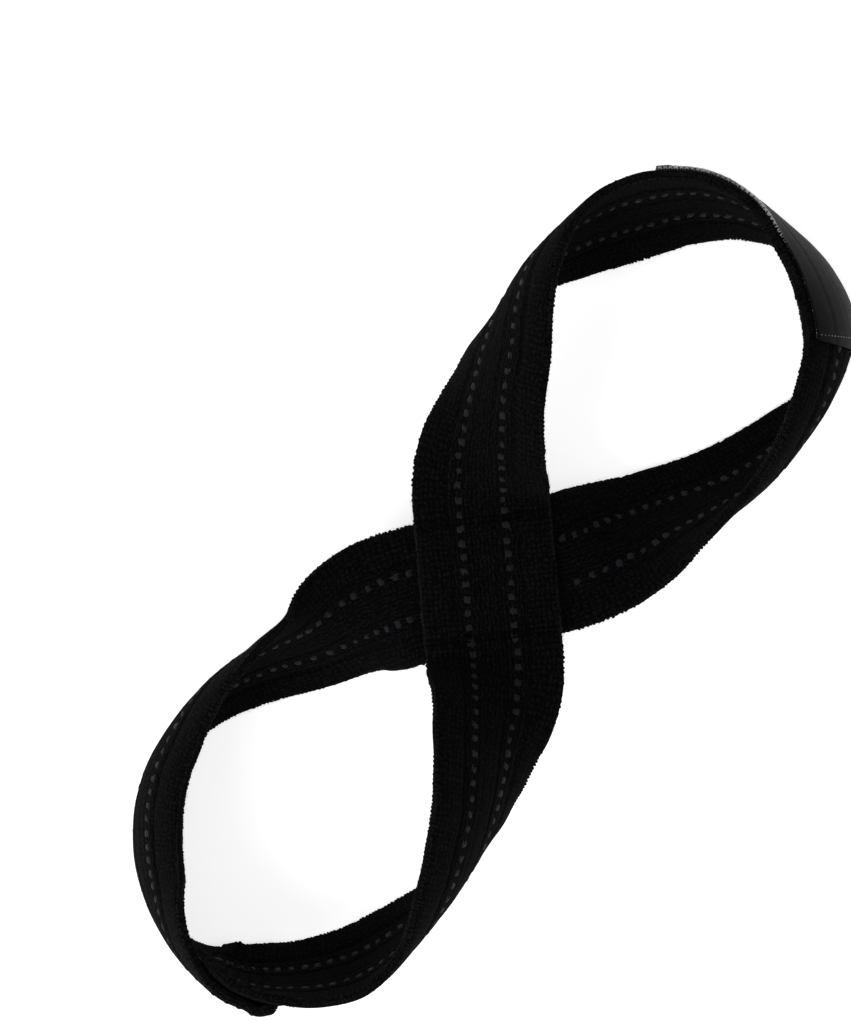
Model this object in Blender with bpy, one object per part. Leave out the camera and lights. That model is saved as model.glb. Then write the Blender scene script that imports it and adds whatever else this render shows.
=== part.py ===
"""Figure-eight lifting strap: one long strip of heavy cotton webbing and a woven label.

The strip crosses itself flat in the middle and is sewn there. Each side of the crossing is a loop
whose webbing makes half a turn on its way round, so it stands on edge at the loop's end. The strip's
two ends lie over each other at the end of the lower loop. A satin label lies on the outer face at
the end of the upper loop. The strap lies on a surface, on the low edges of its loops.

Row frame: the origin is on the surface under the middle of the strap, +X runs towards the labelled
loop, +Z is up. Lengths are metres.
"""
import math

import bmesh
import bpy
import numpy as np

# Webbing
WEBBING_WIDTH = 0.038
WEBBING_THICKNESS = 0.0032
EDGE_THICKNESS = 0.0027
GROOVE_THICKNESS = 0.0020

# Loops, from the middle of the crossing to the sections at the loop's end
UPPER_REACH = 0.127
LOWER_REACH = 0.131

# Gap that sewn faces keep, and how far the low edges press flat on the surface
SEWN_GAP = 0.0003
REST_FLATTENING = 0.0008

# Lap of the strip's two ends
LAP_LENGTH = 0.022
LAP_RAMP = 0.028
LAP_OFFSET = 0.0030

# Woven label on the outer face
LABEL_LENGTH = 0.077
LABEL_WIDTH = 0.0335
LABEL_OFFSET = 0.0003
LABEL_THICKNESS = 0.0008

# Length of webbing between two cross-sections
STATION_SPACING = 0.0055

# Across the webbing, from one edge to the other: share of the width from the middle line, and which
# thickness the weave has there
ACROSS_COLUMNS = ("share", "weave")
WEBBING_ACROSS = (
    (-0.500, "edge"),
    (-0.440, "selvedge"),
    (-0.290, "selvedge"),
    (-0.258, "groove"),
    (-0.225, "selvedge"),
    (-0.075, "selvedge"),
    (0.075, "selvedge"),
    (0.225, "selvedge"),
    (0.258, "groove"),
    (0.290, "selvedge"),
    (0.440, "selvedge"),
    (0.500, "edge"),
)

# One row for each cross-section of a loop, from the lower strip of the crossing round to the upper.
# along and side: shares of the loop's reach, in plan, to the middle of the section's chord
# height: share of the webbing's width, above the surface
# lean: degrees, 0 flat, 90 on edge, 180 flat the other way up
# bow: rise of the section towards its outer face, share of the webbing's width
SECTION_COLUMNS = ("along", "side", "height", "lean", "bow")
UPPER_SECTIONS = (
    (0.000, 0.000, 0.645, 0, 0.00),
    (0.075, -0.054, 0.645, 0, 0.00),
    (0.155, -0.107, 0.645, 0, 0.00),
    (0.255, -0.153, 0.540, 20, 0.03),
    (0.360, -0.188, 0.465, 42, 0.08),
    (0.465, -0.215, 0.448, 56, 0.15),
    (0.570, -0.233, 0.450, 66, 0.21),
    (0.675, -0.234, 0.461, 80, 0.22),
    (0.785, -0.222, 0.457, 97, 0.20),
    (0.892, -0.180, 0.439, 108, 0.16),
    (0.948, -0.090, 0.457, 105, 0.13),
    (0.966, 0.012, 0.490, 94, 0.12),
    (0.954, 0.117, 0.502, 75, 0.11),
    (0.898, 0.213, 0.530, 60, 0.10),
    (0.792, 0.296, 0.61, 54, 0.09),
    (0.688, 0.341, 0.70, 65, 0.11),
    (0.585, 0.349, 0.80, 88, 0.16),
    (0.490, 0.328, 0.88, 108, 0.15),
    (0.400, 0.294, 0.92, 125, 0.11),
    (0.318, 0.256, 0.91, 134, 0.08),
    (0.242, 0.217, 0.85, 149, 0.04),
    (0.176, 0.178, 0.75, 167, 0.01),
    (0.120, 0.131, 0.645, 180, 0.00),
    (0.060, 0.065, 0.645, 180, 0.00),
    (0.000, 0.000, 0.645, 180, 0.00),
)
LOWER_SECTIONS = (
    (0.000, 0.000, 0.645, 0, 0.00),
    (0.075, -0.054, 0.645, 0, 0.00),
    (0.155, -0.107, 0.645, 0, 0.00),
    (0.250, -0.150, 0.540, 23, 0.03),
    (0.350, -0.171, 0.470, 50, 0.08),
    (0.450, -0.202, 0.472, 64, 0.15),
    (0.555, -0.223, 0.478, 78, 0.19),
    (0.665, -0.221, 0.464, 93, 0.20),
    (0.775, -0.198, 0.450, 103, 0.18),
    (0.874, -0.137, 0.446, 107, 0.15),
    (0.946, -0.048, 0.462, 104, 0.13),
    (0.981, 0.058, 0.530, 91, 0.12),
    (0.968, 0.165, 0.568, 71, 0.12),
    (0.901, 0.261, 0.565, 62, 0.10),
    (0.796, 0.334, 0.61, 61, 0.09),
    (0.683, 0.359, 0.70, 72, 0.11),
    (0.582, 0.353, 0.80, 92, 0.15),
    (0.487, 0.331, 0.88, 108, 0.15),
    (0.397, 0.301, 0.92, 121, 0.11),
    (0.319, 0.261, 0.91, 132, 0.08),
    (0.244, 0.218, 0.85, 145, 0.04),
    (0.176, 0.178, 0.75, 164, 0.01),
    (0.120, 0.131, 0.645, 180, 0.00),
    (0.060, 0.065, 0.645, 180, 0.00),
    (0.000, 0.000, 0.645, 180, 0.00),
)
# Places on a loop, as shares of its row numbers
LAP_MIDDLE_SHARE = 0.506
LABEL_MIDDLE_SHARE = 0.467

# How finely the route is drawn before it is measured
FINE_STEPS = 40
SHARP_ANGLE = math.radians(40)

WEBBING_COLOUR = (0.012, 0.012, 0.013, 1.0)
LABEL_COLOUR = (0.030, 0.030, 0.032, 1.0)
WEBBING_ROUGHNESS = 0.9
LABEL_ROUGHNESS = 0.5


def named_columns(names, rows):
    """A table's columns, each as an array under its name."""
    return {name: np.array(column) for name, column in zip(names, zip(*rows))}


def smooth_rows(rows):
    """The table's columns along a smooth curve through its rows (Catmull-Rom)."""
    table = np.array(rows, dtype=float)
    padded = np.vstack([2 * table[0] - table[1], table, 2 * table[-1] - table[-2]])
    steps = np.arange((len(table) - 1) * FINE_STEPS + 1) / FINE_STEPS
    row = np.minimum(steps.astype(int), len(table) - 2)
    t = (steps - row)[:, None]
    before, here, after, beyond = (padded[row + k] for k in range(4))
    return 0.5 * (2 * here + (after - before) * t
                  + (2 * before - 5 * here + 4 * after - beyond) * t ** 2
                  + (3 * here - before - 3 * after + beyond) * t ** 3)


def unit(vectors):
    """Each row scaled to length one."""
    return vectors / np.linalg.norm(vectors, axis=1)[:, None]


def loop_sections(rows, reach, turned):
    """Chord middle, chord direction, outward direction and bow of a loop's fine sections.

    The chord points to the edge that stands up at the loop's end. The lower loop is laid out like the
    upper one and then turned half way round the vertical.
    """
    column = named_columns(SECTION_COLUMNS, smooth_rows(rows))
    lean = np.radians(column["lean"])
    layer = -np.cos(lean) * (WEBBING_THICKNESS + SEWN_GAP) / 2
    middle = np.column_stack([column["along"] * reach, column["side"] * reach,
                              column["height"] * WEBBING_WIDTH + layer])
    ahead = unit(np.gradient(middle, axis=0))
    outward = unit(np.column_stack([ahead[:, 1], -ahead[:, 0], np.zeros(len(ahead))]))
    upward = np.cross(outward, ahead)
    chord = np.cos(lean)[:, None] * outward + np.sin(lean)[:, None] * upward
    outer = np.sin(lean)[:, None] * outward - np.cos(lean)[:, None] * upward
    if turned:
        half_turn = np.array([-1.0, -1.0, 1.0])
        middle, chord, outer = middle * half_turn, chord * half_turn, outer * half_turn
    return middle, chord, outer, np.maximum(column["bow"], 0.0)


def closed_route():
    """The webbing's whole way round, once: lower strip out of the crossing, upper loop, lower loop.

    Its chord always points to the same edge of the webbing, and its outer direction to the same face.
    """
    upper = loop_sections(UPPER_SECTIONS, UPPER_REACH, turned=False)
    middle, chord, outer, bow = loop_sections(LOWER_SECTIONS, LOWER_REACH, turned=True)
    lower = (middle[::-1], -chord[::-1], outer[::-1], bow[::-1])
    return [np.concatenate([first[:-1], second[:-1]]) for first, second in zip(upper, lower)]


def half_angle(bow):
    """Half the angle of an arc whose rise over its length is bow."""
    angle = np.array(4 * bow)
    for _ in range(8):
        safe = np.maximum(angle, 1e-4)
        rise = (1 - np.cos(safe)) / (2 * safe)
        slope = (safe * np.sin(safe) - (1 - np.cos(safe))) / (2 * safe ** 2)
        angle = np.maximum(safe - (rise - bow) / slope, 1e-4)
    return angle


class Route:
    """The closed route, measured along the webbing's middle line."""

    def __init__(self):
        self.middle, self.chord, self.outer, bow = closed_route()
        self.angle = half_angle(bow)
        self.radius = WEBBING_WIDTH / (2 * self.angle)
        centre = self.middle + (self.radius * (1 - np.cos(self.angle)))[:, None] * self.outer
        steps = np.linalg.norm(np.roll(centre, -1, axis=0) - centre, axis=1)
        self.distance = np.concatenate([[0.0], np.cumsum(steps)])
        self.length = self.distance[-1]
        self.upper_steps = (len(UPPER_SECTIONS) - 1) * FINE_STEPS
        self.lower_steps = (len(LOWER_SECTIONS) - 1) * FINE_STEPS

    def distance_on_upper(self, share):
        """Distance to a place on the upper loop, from its share of the loop's rows."""
        return self.distance[round(share * self.upper_steps)]

    def distance_on_lower(self, share):
        """Distance to a place on the lower loop, which the route follows backwards."""
        return self.distance[self.upper_steps + round((1 - share) * self.lower_steps)]

    def at(self, distance, values):
        """The route's values at distances along it, any number of times round."""
        rest = np.mod(distance, self.length)
        looped = np.concatenate([values, values[:1]])
        if looped.ndim == 1:
            return np.interp(rest, self.distance, looped)
        return np.column_stack([np.interp(rest, self.distance, column) for column in looped.T])

    def place(self, distance, across, outwards):
        """Points at a distance along, a share across and a length out from the middle surface."""
        middle = self.at(distance, self.middle)
        chord = unit(self.at(distance, self.chord))
        outer = unit(self.at(distance, self.outer))
        angle = self.at(distance, self.angle)
        radius = WEBBING_WIDTH / (2 * angle)
        turn = 2 * angle * across
        sideways = (radius + outwards) * np.sin(turn)
        rise = (radius + outwards) * np.cos(turn) - radius * np.cos(angle)
        return middle + sideways[:, None] * chord + rise[:, None] * outer


def flat_strip(lengthwise, crosswise):
    """A cube cut into a grid of that many points along and across, its squares halved one way.

    Strips that lie on each other then fold along the same lines.
    """
    strip = bmesh.new()
    bmesh.ops.create_cube(strip, size=1.0)
    for axis, points in ((0, lengthwise), (1, crosswise)):
        edges = [edge for edge in strip.edges
                 if abs(edge.verts[0].co[axis] - edge.verts[1].co[axis]) > 0.5 / crosswise]
        bmesh.ops.subdivide_edges(strip, edges=edges, cuts=points - 2, use_grid_fill=True)
    for face in list(strip.faces):
        corners = sorted(face.verts, key=lambda vertex: sum(vertex.co))
        bmesh.utils.face_split(face, corners[0], corners[-1])
    return strip


def shape_strip(lengthwise, crosswise, point_at):
    """A flat strip whose points are moved to point_at(indices along, indices across, sides)."""
    strip = flat_strip(lengthwise, crosswise)
    flat = np.array([vertex.co[:] for vertex in strip.verts])
    along = np.rint((flat[:, 0] + 0.5) * (lengthwise - 1)).astype(int)
    across = np.rint((flat[:, 1] + 0.5) * (crosswise - 1)).astype(int)
    side = np.sign(flat[:, 2])
    for vertex, point in zip(strip.verts, point_at(along, across, side)):
        vertex.co = point
    bmesh.ops.recalc_face_normals(strip, faces=strip.faces)
    return strip


def ease(share):
    """Smooth step from 0 to 1."""
    return share * share * (3 - 2 * share)


def stations(route):
    """Distance between cross-sections, how many steps the lap has, and where on the route it starts."""
    spacing = route.length / round(route.length / STATION_SPACING)
    lap_steps = round(LAP_LENGTH / spacing)
    return spacing, lap_steps, route.distance_on_lower(LAP_MIDDLE_SHARE) - lap_steps * spacing / 2


def make_webbing(route):
    """The one strip of webbing, with its two ends lapped."""
    spacing, lap_steps, start = stations(route)
    steps = round(route.length / spacing) + lap_steps
    lap = lap_steps * spacing
    weaves = {"edge": EDGE_THICKNESS, "selvedge": WEBBING_THICKNESS, "groove": GROOVE_THICKNESS}
    column = named_columns(ACROSS_COLUMNS, WEBBING_ACROSS)
    share = column["share"]
    thickness = np.array([weaves[weave] for weave in column["weave"]])

    def point_at(along, across, side):
        from_start = along * spacing
        from_end = steps * spacing - from_start
        head = 1 - np.clip((from_start - lap) / LAP_RAMP, 0, 1)
        tail = 1 - np.clip((from_end - lap) / LAP_RAMP, 0, 1)
        lapped = ease(head) - ease(tail)
        outwards = side * thickness[across] / 2 + lapped * (WEBBING_THICKNESS + SEWN_GAP) / 2
        shift = lapped * LAP_OFFSET / 2 / WEBBING_WIDTH
        return route.place(start + from_start, share[across] + shift, outwards)

    return shape_strip(steps + 1, len(share), point_at)


def make_label(route):
    """The woven label, on the webbing's outer face at the same cross-sections as the webbing.

    Across, it has the webbing's own full-thickness places inside its edges and spans the grooves.
    """
    spacing, _, lap_start = stations(route)
    steps = round(LABEL_LENGTH / spacing)
    first = round((route.distance_on_upper(LABEL_MIDDLE_SHARE) - lap_start) / spacing - steps / 2)
    start = lap_start + first * spacing
    low = (LABEL_OFFSET - LABEL_WIDTH / 2) / WEBBING_WIDTH
    high = (LABEL_OFFSET + LABEL_WIDTH / 2) / WEBBING_WIDTH
    column = named_columns(ACROSS_COLUMNS, WEBBING_ACROSS)
    inside = (column["weave"] == "selvedge") & (column["share"] > low) & (column["share"] < high)
    share = np.concatenate([[low], column["share"][inside], [high]])
    seat = WEBBING_THICKNESS / 2 + SEWN_GAP

    def point_at(along, across, side):
        outwards = seat + LABEL_THICKNESS * (side + 1) / 2
        return route.place(start + along * spacing, share[across], outwards)

    return shape_strip(steps + 1, len(share), point_at)


def settle(strips):
    """Lays the strips on the surface, flattens what presses on it and centres their outline."""
    points = np.array([vertex.co[:] for strip in strips for vertex in strip.verts])
    low, high = points.min(axis=0), points.max(axis=0)
    shift = np.array([-(low[0] + high[0]) / 2, -(low[1] + high[1]) / 2, -low[2] - REST_FLATTENING])
    for strip in strips:
        for vertex in strip.verts:
            place = np.array(vertex.co) + shift
            vertex.co = (place[0], place[1], max(place[2], 0.0))


def make_material(name, colour, roughness):
    """A Principled material."""
    material = bpy.data.materials.new(name)
    material.use_nodes = True
    shader = material.node_tree.nodes["Principled BSDF"]
    shader.inputs["Base Color"].default_value = colour
    shader.inputs["Roughness"].default_value = roughness
    shader.inputs["Metallic"].default_value = 0.0
    return material


def add_piece(name, strip, material, collection):
    """The finished object of a strip."""
    mesh = bpy.data.meshes.new(name)
    strip.to_mesh(mesh)
    strip.free()
    mesh.shade_smooth()
    mesh.set_sharp_from_angle(angle=SHARP_ANGLE)
    mesh.materials.append(material)
    collection.objects.link(bpy.data.objects.new(name, mesh))


def main():
    for item in list(bpy.data.objects):
        bpy.data.objects.remove(item, do_unlink=True)
    strap = bpy.data.collections.new("figure_eight_strap")
    bpy.context.scene.collection.children.link(strap)
    route = Route()
    webbing = make_webbing(route)
    label = make_label(route)
    settle([webbing, label])
    add_piece("webbing", webbing, make_material("webbing", WEBBING_COLOUR, WEBBING_ROUGHNESS), strap)
    add_piece("label", label, make_material("label", LABEL_COLOUR, LABEL_ROUGHNESS), strap)


main()
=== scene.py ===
"""Looks of the figure-eight lifting strap: woven webbing, tracer yarns, seams, woven label, floor and light.

The strap is dressed over its CAD frame: the strip and the label are made again with their weave, and the
yarns, stitches and fibres that the frame leaves out are added. Lengths are metres.
"""
import math

import bpy
import numpy as np
from bpy.props import FloatProperty, FloatVectorProperty, PointerProperty
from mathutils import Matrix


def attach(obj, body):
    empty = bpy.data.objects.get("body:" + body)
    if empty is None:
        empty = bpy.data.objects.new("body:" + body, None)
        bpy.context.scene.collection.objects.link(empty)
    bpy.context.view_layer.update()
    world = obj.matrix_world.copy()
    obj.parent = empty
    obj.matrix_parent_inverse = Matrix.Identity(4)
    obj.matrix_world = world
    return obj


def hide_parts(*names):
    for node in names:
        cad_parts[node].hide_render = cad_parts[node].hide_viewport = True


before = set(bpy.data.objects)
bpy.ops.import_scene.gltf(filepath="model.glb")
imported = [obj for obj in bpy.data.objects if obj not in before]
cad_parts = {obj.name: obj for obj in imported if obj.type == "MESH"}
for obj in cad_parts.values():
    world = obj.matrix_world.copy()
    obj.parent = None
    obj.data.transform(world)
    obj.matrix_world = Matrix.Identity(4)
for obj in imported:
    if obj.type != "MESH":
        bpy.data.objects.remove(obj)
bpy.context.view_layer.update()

bl_info = {
    "name": "Figure-eight lifting strap",
    "version": (1, 0, 0),
    "blender": (4, 5, 0),
    "location": "View3D > Sidebar > Strap",
    "description": "Woven webbing strap with tracer yarns, seams, a woven label and a studio stage",
    "category": "Mesh",
}

# The frame's own sizes, repeated here
WEBBING_WIDTH = 0.038
WEBBING_THICKNESS = 0.0032
SEWN_GAP = 0.0003
UPPER_REACH = 0.127
LOWER_REACH = 0.131
LAP_STEPS = 4
LAP_RAMP = 0.028
LAP_OFFSET = 0.0030
LABEL_STEPS = 14
LABEL_WIDTH = 0.0335
LABEL_OFFSET = 0.0003
STATION_SPACING = 0.0055
LAP_MIDDLE_SHARE = 0.506
LABEL_MIDDLE_SHARE = 0.467
FINE_STEPS = 40

# How far the frame shifts the strap, to centre it and lay it on the floor
SETTLED_BY = np.array([0.00338768, 0.00124453, -0.00032713])

# The label's low and high edge, shares of the strip's width
LABEL_LOW = (LABEL_OFFSET - LABEL_WIDTH / 2) / WEBBING_WIDTH
LABEL_HIGH = (LABEL_OFFSET + LABEL_WIDTH / 2) / WEBBING_WIDTH

# Cross-sections of each loop: shares of the reach along and aside, height as a share of the width, lean in
# degrees and bow as a share of the width
SECTION_COLUMNS = ("along", "side", "height", "lean", "bow")
UPPER_SECTIONS = (
    (0.000, 0.000, 0.645, 0, 0.00),
    (0.075, -0.054, 0.645, 0, 0.00),
    (0.155, -0.107, 0.645, 0, 0.00),
    (0.255, -0.153, 0.540, 20, 0.03),
    (0.360, -0.188, 0.465, 42, 0.08),
    (0.465, -0.215, 0.448, 56, 0.15),
    (0.570, -0.233, 0.450, 66, 0.21),
    (0.675, -0.234, 0.461, 80, 0.22),
    (0.785, -0.222, 0.457, 97, 0.20),
    (0.892, -0.180, 0.439, 108, 0.16),
    (0.948, -0.090, 0.457, 105, 0.13),
    (0.966, 0.012, 0.490, 94, 0.12),
    (0.954, 0.117, 0.502, 75, 0.11),
    (0.898, 0.213, 0.530, 60, 0.10),
    (0.792, 0.296, 0.61, 54, 0.09),
    (0.688, 0.341, 0.70, 65, 0.11),
    (0.585, 0.349, 0.80, 88, 0.16),
    (0.490, 0.328, 0.88, 108, 0.15),
    (0.400, 0.294, 0.92, 125, 0.11),
    (0.318, 0.256, 0.91, 134, 0.08),
    (0.242, 0.217, 0.85, 149, 0.04),
    (0.176, 0.178, 0.75, 167, 0.01),
    (0.120, 0.131, 0.645, 180, 0.00),
    (0.060, 0.065, 0.645, 180, 0.00),
    (0.000, 0.000, 0.645, 180, 0.00),
)
LOWER_SECTIONS = (
    (0.000, 0.000, 0.645, 0, 0.00),
    (0.075, -0.054, 0.645, 0, 0.00),
    (0.155, -0.107, 0.645, 0, 0.00),
    (0.250, -0.150, 0.540, 23, 0.03),
    (0.350, -0.171, 0.470, 50, 0.08),
    (0.450, -0.202, 0.472, 64, 0.15),
    (0.555, -0.223, 0.478, 78, 0.19),
    (0.665, -0.221, 0.464, 93, 0.20),
    (0.775, -0.198, 0.450, 103, 0.18),
    (0.874, -0.137, 0.446, 107, 0.15),
    (0.946, -0.048, 0.462, 104, 0.13),
    (0.981, 0.058, 0.530, 91, 0.12),
    (0.968, 0.165, 0.568, 71, 0.12),
    (0.901, 0.261, 0.565, 62, 0.10),
    (0.796, 0.334, 0.61, 61, 0.09),
    (0.683, 0.359, 0.70, 72, 0.11),
    (0.582, 0.353, 0.80, 92, 0.15),
    (0.487, 0.331, 0.88, 108, 0.15),
    (0.397, 0.301, 0.92, 121, 0.11),
    (0.319, 0.261, 0.91, 132, 0.08),
    (0.244, 0.218, 0.85, 145, 0.04),
    (0.176, 0.178, 0.75, 164, 0.01),
    (0.120, 0.131, 0.645, 180, 0.00),
    (0.060, 0.065, 0.645, 180, 0.00),
    (0.000, 0.000, 0.645, 180, 0.00),
)

# Thickness of the strip from its one edge to the other: share of the width, metres
PROFILE_COLUMNS = ("share", "thickness")
STRIP_PROFILE = (
    (-0.500, 0.00100),
    (-0.496, 0.00170),
    (-0.486, 0.00240),
    (-0.468, 0.00290),
    (-0.435, 0.00316),
    (-0.390, 0.00322),
    (-0.340, 0.00325),
    (-0.295, 0.00315),
    (-0.272, 0.00285),
    (-0.252, 0.00205),
    (-0.234, 0.00290),
    (-0.212, 0.00332),
    (-0.190, 0.00290),
    (-0.165, 0.00302),
    (-0.140, 0.00288),
    (-0.112, 0.00334),
    (-0.086, 0.00318),
    (-0.066, 0.00288),
    (-0.046, 0.00322),
    (-0.015, 0.00334),
    (0.020, 0.00318),
    (0.050, 0.00334),
    (0.070, 0.00308),
    (0.085, 0.00248),
    (0.100, 0.00310),
    (0.120, 0.00332),
    (0.142, 0.00288),
    (0.167, 0.00302),
    (0.192, 0.00290),
    (0.222, 0.00332),
    (0.252, 0.00298),
    (0.273, 0.00200),
    (0.294, 0.00290),
    (0.318, 0.00318),
    (0.350, 0.00325),
    (0.390, 0.00322),
    (0.435, 0.00316),
    (0.468, 0.00290),
    (0.486, 0.00240),
    (0.496, 0.00170),
    (0.500, 0.00100),
)

# Length of strip between two rows of its woven cloth
STRIP_STATION = 0.0007

# Weave of the strip: where its selvedges begin, the ribs between them and the tracer rows' share of the width
SELVEDGE_FROM = 0.010
RIB_PITCH = 0.00118
RIB_TWIST = 0.00105
TRACER_SHARE = 0.166

# Strands of a tracer float: distance between two, how far the outer ones lie lower, and half their
# length, width and height
STRAND_PITCH = 0.00042
STRAND_DROP = 0.00005
STRAND_LENGTH = 0.00130
STRAND_WIDTH = 0.00031
STRAND_HEIGHT = 0.00034

# Knobs where the weft turns: distance between their levels, and half their length, width and height
KNOB_LEVEL = 0.00085
KNOB_SIZE = (0.00052, 0.00048, 0.00056)

# Slack of the strip's cut ends: the last one curls in, the first one bulges, is tucked in and cut askew
CURL_REACH = 0.0042
CURL_DEPTH = 0.0013
BULGE_PLACE = 0.0035
BULGE_REACH = 0.0050
BULGE_HEIGHT = 0.0010
TUCK_DEPTH = 0.0004
CUT_ASKEW = 0.0042
CUT_REACH = 0.014

# Seams: places of the crossing's two from its middle, of the lap's four rows, and the dent they press
SEAM_OFFSETS = (-0.0163, 0.0160)
LAP_SEAM_OFFSETS = (-0.0055, -0.0018, 0.0018, 0.0055)
LAP_STITCH_PITCH = 0.0018
SEAM_DENT = 0.00025
SEAM_DENT_REACH = 0.0012

# Half the length of strip that the crossing hides
CROSSING_COVER = 0.0195

# Heights over the strip's middle surface of what lies on its faces
FLOAT_OUT = 0.00146
STITCH_OUT = 0.00158
FIBRE_OUT = 0.00155
BORDER_OUT = 0.00205
HEM_STITCH_OUT = 0.00252

# Loose fibres: how many, least and most length, and their thickness and bend as shares of their length
EDGE_FIBRES = 5200
FACE_FIBRES = 3600
FIBRE_LENGTH = (0.0004, 0.0011)
FIBRE_THICKNESS = 0.030
FIBRE_BEND = 0.35

# Woven label: cloth, hem, weave, how far it is sewn askew and how far its top edge stands off
LABEL_CLOTH = 0.00045
LABEL_CLEARANCE = 0.00018
HEM_WIDTH = 0.0036
HEM_FOLD = 0.00035
HEM_STEP = 0.0008
HEM_LINE = 0.0028
HEM_STITCH_PITCH = 0.0013
HEM_STITCH_LENGTH = 0.00042
SATIN_WEFT_PITCH = 0.00036
SATIN_WARP_PITCH = 0.00022
LABEL_ASKEW = 0.0018
LABEL_STAND_OFF = 0.0003

# Border stitches of the label: half their length and thickness, and how far inside the edge they lie
BORDER_STITCH_LENGTH = 0.00062
BORDER_STITCH_THICKNESS = 0.00027
BORDER_INSIDE = 0.0003

# The weave map holds centimetres
MAP_SCALE = 100

# The picture's framing: its turn in degrees, pixels for each metre at the crossing, and in pixels its
# middle, its height and the place of the crossing
PICTURE_TURN = -47.6
PICTURE_SCALE = 3600.0
PICTURE_MIDDLE = (425.5, 510.5)
PICTURE_TALL = 1021
PICTURE_CROSSING = (488.0, 582.0)

# A small shift that lays the outlines over each other, the crossing's height and the camera's sensor
PICTURE_TRIM = 0.0006
CROSSING_HEIGHT = 0.026
SENSOR_MM = 36.0

# Room: brightness of the sky, glow of the floor, and name, place, size and watts of the two lights
SKY_STRENGTH = 0.42
FLOOR_GLOW = 0.66
LIGHTS = (
    ("key_light", (-1.75, 0.15, 1.35), 1.2, 34.0),
    ("fill_light", (0.9, -0.5, 1.8), 1.4, 7.0),
)


def named_columns(names, rows):
    """A table's columns, each as an array under its name."""
    return {name: np.array(column) for name, column in zip(names, zip(*rows))}


def smooth_rows(rows):
    """The table's columns along a smooth curve through its rows (Catmull-Rom)."""
    table = np.array(rows, dtype=float)
    padded = np.vstack([2 * table[0] - table[1], table, 2 * table[-1] - table[-2]])
    steps = np.arange((len(table) - 1) * FINE_STEPS + 1) / FINE_STEPS
    row = np.minimum(steps.astype(int), len(table) - 2)
    t = (steps - row)[:, None]
    before, here, after, beyond = (padded[row + k] for k in range(4))
    return 0.5 * (2 * here + (after - before) * t
                  + (2 * before - 5 * here + 4 * after - beyond) * t ** 2
                  + (3 * here - before - 3 * after + beyond) * t ** 3)


def unit(vectors):
    """Each row scaled to length one."""
    return vectors / np.linalg.norm(vectors, axis=1)[:, None]


def arrays(*lists):
    """Lists of numbers as arrays."""
    return [np.array(values, dtype=float) for values in lists]


def ease(share):
    """Smooth step from 0 to 1."""
    return share * share * (3 - 2 * share)


def half_angle(bow):
    """Half the angle of an arc whose rise over its length is bow."""
    angle = np.array(4 * bow)
    for _ in range(8):
        safe = np.maximum(angle, 1e-4)
        rise = (1 - np.cos(safe)) / (2 * safe)
        slope = (safe * np.sin(safe) - (1 - np.cos(safe))) / (2 * safe ** 2)
        angle = np.maximum(safe - (rise - bow) / slope, 1e-4)
    return angle


def loop_sections(rows, reach, turned):
    """Chord middle, chord direction, outward direction and bow of a loop's fine sections."""
    column = named_columns(SECTION_COLUMNS, smooth_rows(rows))
    lean = np.radians(column["lean"])
    layer = -np.cos(lean) * (WEBBING_THICKNESS + SEWN_GAP) / 2
    middle = np.column_stack([column["along"] * reach, column["side"] * reach,
                              column["height"] * WEBBING_WIDTH + layer])
    ahead = unit(np.gradient(middle, axis=0))
    outward = unit(np.column_stack([ahead[:, 1], -ahead[:, 0], np.zeros(len(ahead))]))
    upward = np.cross(outward, ahead)
    chord = np.cos(lean)[:, None] * outward + np.sin(lean)[:, None] * upward
    outer = np.sin(lean)[:, None] * outward - np.cos(lean)[:, None] * upward
    if turned:
        half_turn = np.array([-1.0, -1.0, 1.0])
        middle, chord, outer = middle * half_turn, chord * half_turn, outer * half_turn
    return middle, chord, outer, np.maximum(column["bow"], 0.0)


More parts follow.
